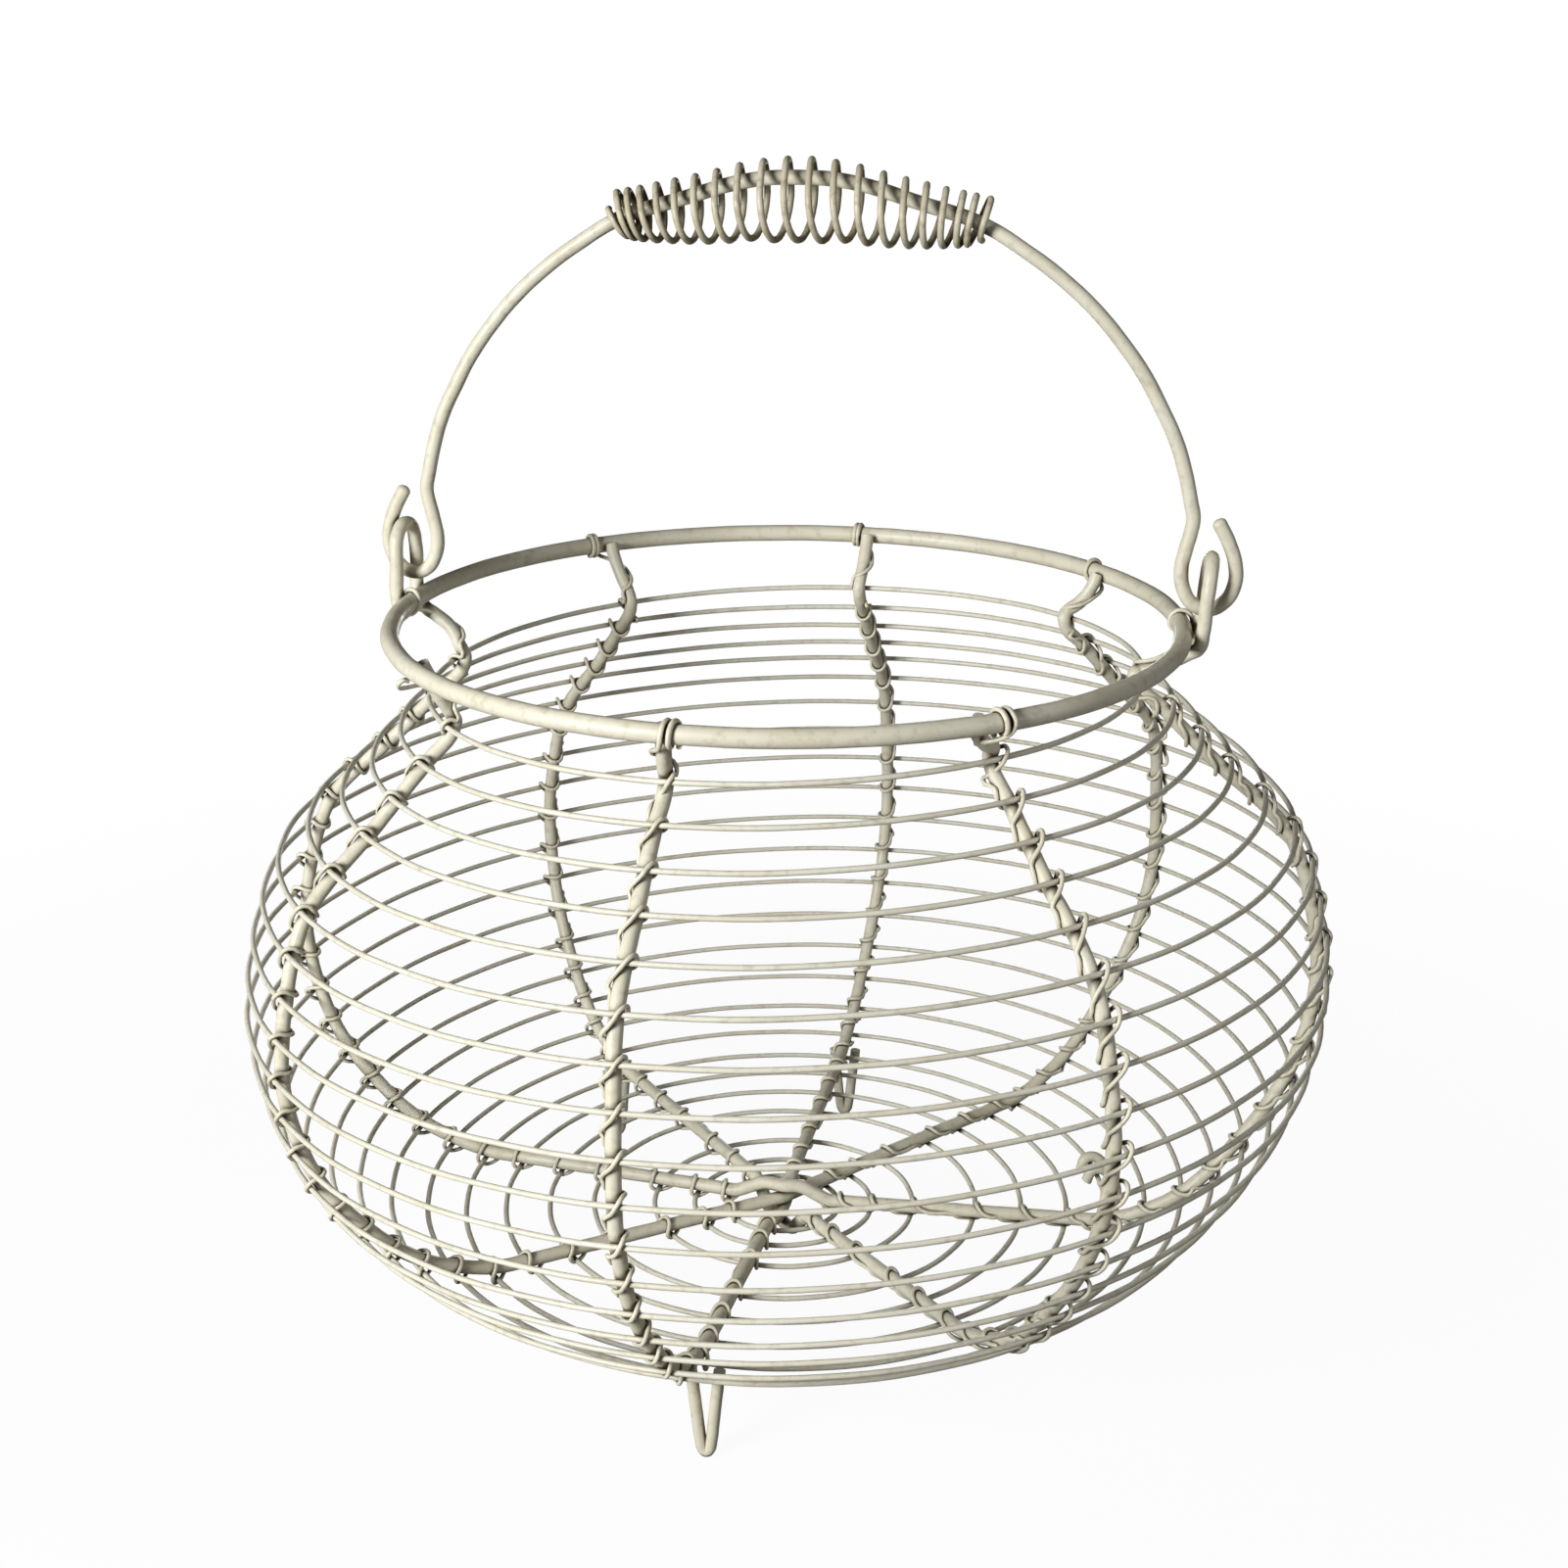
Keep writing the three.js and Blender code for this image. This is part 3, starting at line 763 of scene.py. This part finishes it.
def archRise(across):
    # the handle's height above the hinge line at a distance from its middle
    points = [(handle["halfWidth"] * x, handle["rise"] * y) for x, y in handle["arch"]]
    across = abs(across)
    for (x0, y0), (x1, y1) in zip(points, points[1:]):
        if across <= x1:
            share = (across - x0) / (x1 - x0)
            return y0 + (y1 - y0) * share
    return points[-1][1]


def gripPitch(turn):
    turns, pitch = grip["turns"], grip["pitch"]
    share = (turn - turns["tightLeft"]) / turns["open"]
    if turn > sum(turns.values()) - turns["tail"]:
        return pitch["tail"]
    if not 0 <= share <= 1:
        return pitch["tight"]
    return pitch["end"] + (pitch["middle"] - pitch["end"]) * math.sin(math.pi * share)


def gripRoute():
    perTurn, reach = grip["pointsPerTurn"], grip["slopeReach"]
    steps = round(sum(grip["turns"].values()) * perTurn)
    places = [0]
    for i in range(steps):
        places.append(places[-1] + gripPitch((i + 0.5) / perTurn) / perTurn)
    half = places[-1] / 2
    route = []
    for i, place in enumerate(places):
        across = place - half
        fullness = 1 - abs(across / half) ** grip["taper"]["radius"]
        hang = 1 - abs(across / half) ** grip["taper"]["hang"]
        opening = smoothStep(min(i, steps - i) / perTurn, 0, grip["closeWithin"])
        radius = grip["endRadius"] + (grip["middleRadius"] - grip["endRadius"]) * fullness
        radius = grip["closedRadius"] * (1 - opening) + radius * opening
        slope = (archRise(across + reach) - archRise(across - reach)) / (2 * reach)
        lean = math.atan(slope * (1 - hang))
        middle = archRise(across) + opening * (grip["endLift"] * (1 - hang) - grip["middleHang"] * hang)
        turn = 2 * math.pi * i / perTurn
        lift = radius * math.cos(turn)
        side = radius * math.sin(turn) * (1 - grip["topNarrow"] * max(math.cos(turn), 0) * opening)
        route.append(Vector((
            handle["shift"] + across - lift * math.sin(lean) - grip["pinch"] * fullness * math.sin(turn),
            hingeDepth - side,
            hingeHeight + middle + lift * math.cos(lean),
        )))
    return route


gripWire = bentWire("gripCoil", gripRoute(), grip)
roundCutEnds(gripWire, grip)
coat(gripWire, grip, shadedGripPaint, "bail", ["grip_coil"])
print("grip made")


# floor, light and camera

studio = {  # lengths in metres
    "floorRadius": 4,
    "floorSides": 96,
    "floorSeen": 0.96,  # the floor's white as the camera sees it, and as it lights the object
    "floorBounce": 0.06,
    "shadow": 0.05,  # how much of the object's shadow the floor shows, near the object
    "fadeFrom": 0.15,
    "fadeTo": 0.55,
    "worldLight": 0.025,
    "worldTint": (1, 0.9, 0.72, 1),
    "aim": (0, 0, 0.12),
    "lamps": [  # name, place, size, watts
        ("keyLamp", (-0.52, -0.79, 0.42), 0.35, 10.2),
        ("rightLamp", (0.8, -0.35, 0.4), 0.3, 1.3),
        ("backLamp", (-0.05, 1.05, 0.05), 0.3, 1.9),
    ],
    "camera": {
        "place": (0.1074, -0.5524, 0.3297),
        "down": 18.82,  # degrees below level, and degrees to the left of straight ahead
        "left": 11.06,
        "lens": 53.81,
        "sensor": 36,
        "clip": (0.05, 50),
    },
}
white = (1, 1, 1, 1)


def makeFloor():
    shape = bmesh.new()
    sides, radius = studio["floorSides"], studio["floorRadius"]
    bmesh.ops.create_circle(shape, cap_ends=True, segments=sides, radius=radius)
    mesh = bpy.data.meshes.new("floor")
    shape.to_mesh(mesh)
    shape.free()
    floor = bpy.data.objects.new("floor", mesh)
    bpy.context.scene.collection.objects.link(floor)
    material = bpy.data.materials.new("whiteFloor")
    material.use_nodes = True
    nodes, links = material.node_tree.nodes, material.node_tree.links
    nodes.clear()
    place = nodes.new("ShaderNodeTexCoord")
    far = nodes.new("ShaderNodeVectorMath")
    far.operation = "LENGTH"
    links.new(place.outputs["Object"], far.inputs[0])
    fade = nodes.new("ShaderNodeMapRange")
    fade.interpolation_type = "SMOOTHSTEP"
    fade.inputs["From Min"].default_value = studio["fadeFrom"]
    fade.inputs["From Max"].default_value = studio["fadeTo"]
    fade.inputs["To Min"].default_value = 1 - studio["shadow"]
    fade.inputs["To Max"].default_value = 1
    links.new(far.outputs["Value"], fade.inputs["Value"])
    ray = nodes.new("ShaderNodeLightPath")
    seen = nodes.new("ShaderNodeMath")
    seen.operation = "MULTIPLY"
    links.new(ray.outputs["Is Camera Ray"], seen.inputs[0])
    links.new(fade.outputs["Result"], seen.inputs[1])
    plain = nodes.new("ShaderNodeBsdfDiffuse")
    paleness = nodes.new("ShaderNodeMapRange")
    paleness.inputs["To Min"].default_value = studio["floorBounce"]
    paleness.inputs["To Max"].default_value = studio["floorSeen"]
    links.new(ray.outputs["Is Camera Ray"], paleness.inputs["Value"])
    links.new(paleness.outputs["Result"], plain.inputs["Color"])
    glow = nodes.new("ShaderNodeEmission")
    glow.inputs["Color"].default_value = white
    glow.inputs["Strength"].default_value = 1
    mix = nodes.new("ShaderNodeMixShader")
    links.new(seen.outputs["Value"], mix.inputs["Fac"])
    links.new(plain.outputs["BSDF"], mix.inputs[1])
    links.new(glow.outputs["Emission"], mix.inputs[2])
    output = nodes.new("ShaderNodeOutputMaterial")
    links.new(mix.outputs["Shader"], output.inputs["Surface"])
    mesh.materials.append(material)


def makeWorld():
    world = bpy.data.worlds.new("studioWorld")
    bpy.context.scene.world = world
    world.use_nodes = True
    nodes, links = world.node_tree.nodes, world.node_tree.links
    nodes.clear()
    ray = nodes.new("ShaderNodeLightPath")
    strength = nodes.new("ShaderNodeMapRange")
    strength.inputs["To Min"].default_value = studio["worldLight"]
    strength.inputs["To Max"].default_value = 1
    links.new(ray.outputs["Is Camera Ray"], strength.inputs["Value"])
    sky = nodes.new("ShaderNodeBackground")
    tint = nodes.new("ShaderNodeMix")
    tint.data_type = "RGBA"
    tint.inputs["A"].default_value = studio["worldTint"]
    tint.inputs["B"].default_value = white
    links.new(ray.outputs["Is Camera Ray"], tint.inputs["Factor"])
    links.new(tint.outputs["Result"], sky.inputs["Color"])
    links.new(strength.outputs["Result"], sky.inputs["Strength"])
    output = nodes.new("ShaderNodeOutputWorld")
    links.new(sky.outputs["Background"], output.inputs["Surface"])


def makeLamps():
    for name, place, size, watts in studio["lamps"]:
        data = bpy.data.lights.new(name, "AREA")
        data.shape = "DISK"
        data.size = size
        data.energy = watts
        lamp = bpy.data.objects.new(name, data)
        lamp.location = place
        aim = Vector(studio["aim"]) - lamp.location
        lamp.rotation_euler = aim.to_track_quat("-Z", "Y").to_euler()
        bpy.context.scene.collection.objects.link(lamp)


def makeCamera():
    view = studio["camera"]
    data = bpy.data.cameras.new("camera")
    data.sensor_width, data.lens = view["sensor"], view["lens"]
    data.clip_start, data.clip_end = view["clip"]
    camera = bpy.data.objects.new("camera", data)
    camera.location = view["place"]
    camera.rotation_euler = (math.radians(90 - view["down"]), 0, math.radians(view["left"]))
    bpy.context.scene.collection.objects.link(camera)
    bpy.context.scene.camera = camera


makeFloor()
makeWorld()
makeLamps()
makeCamera()
bpy.context.scene.view_settings.view_transform = "Standard"
print("studio made")
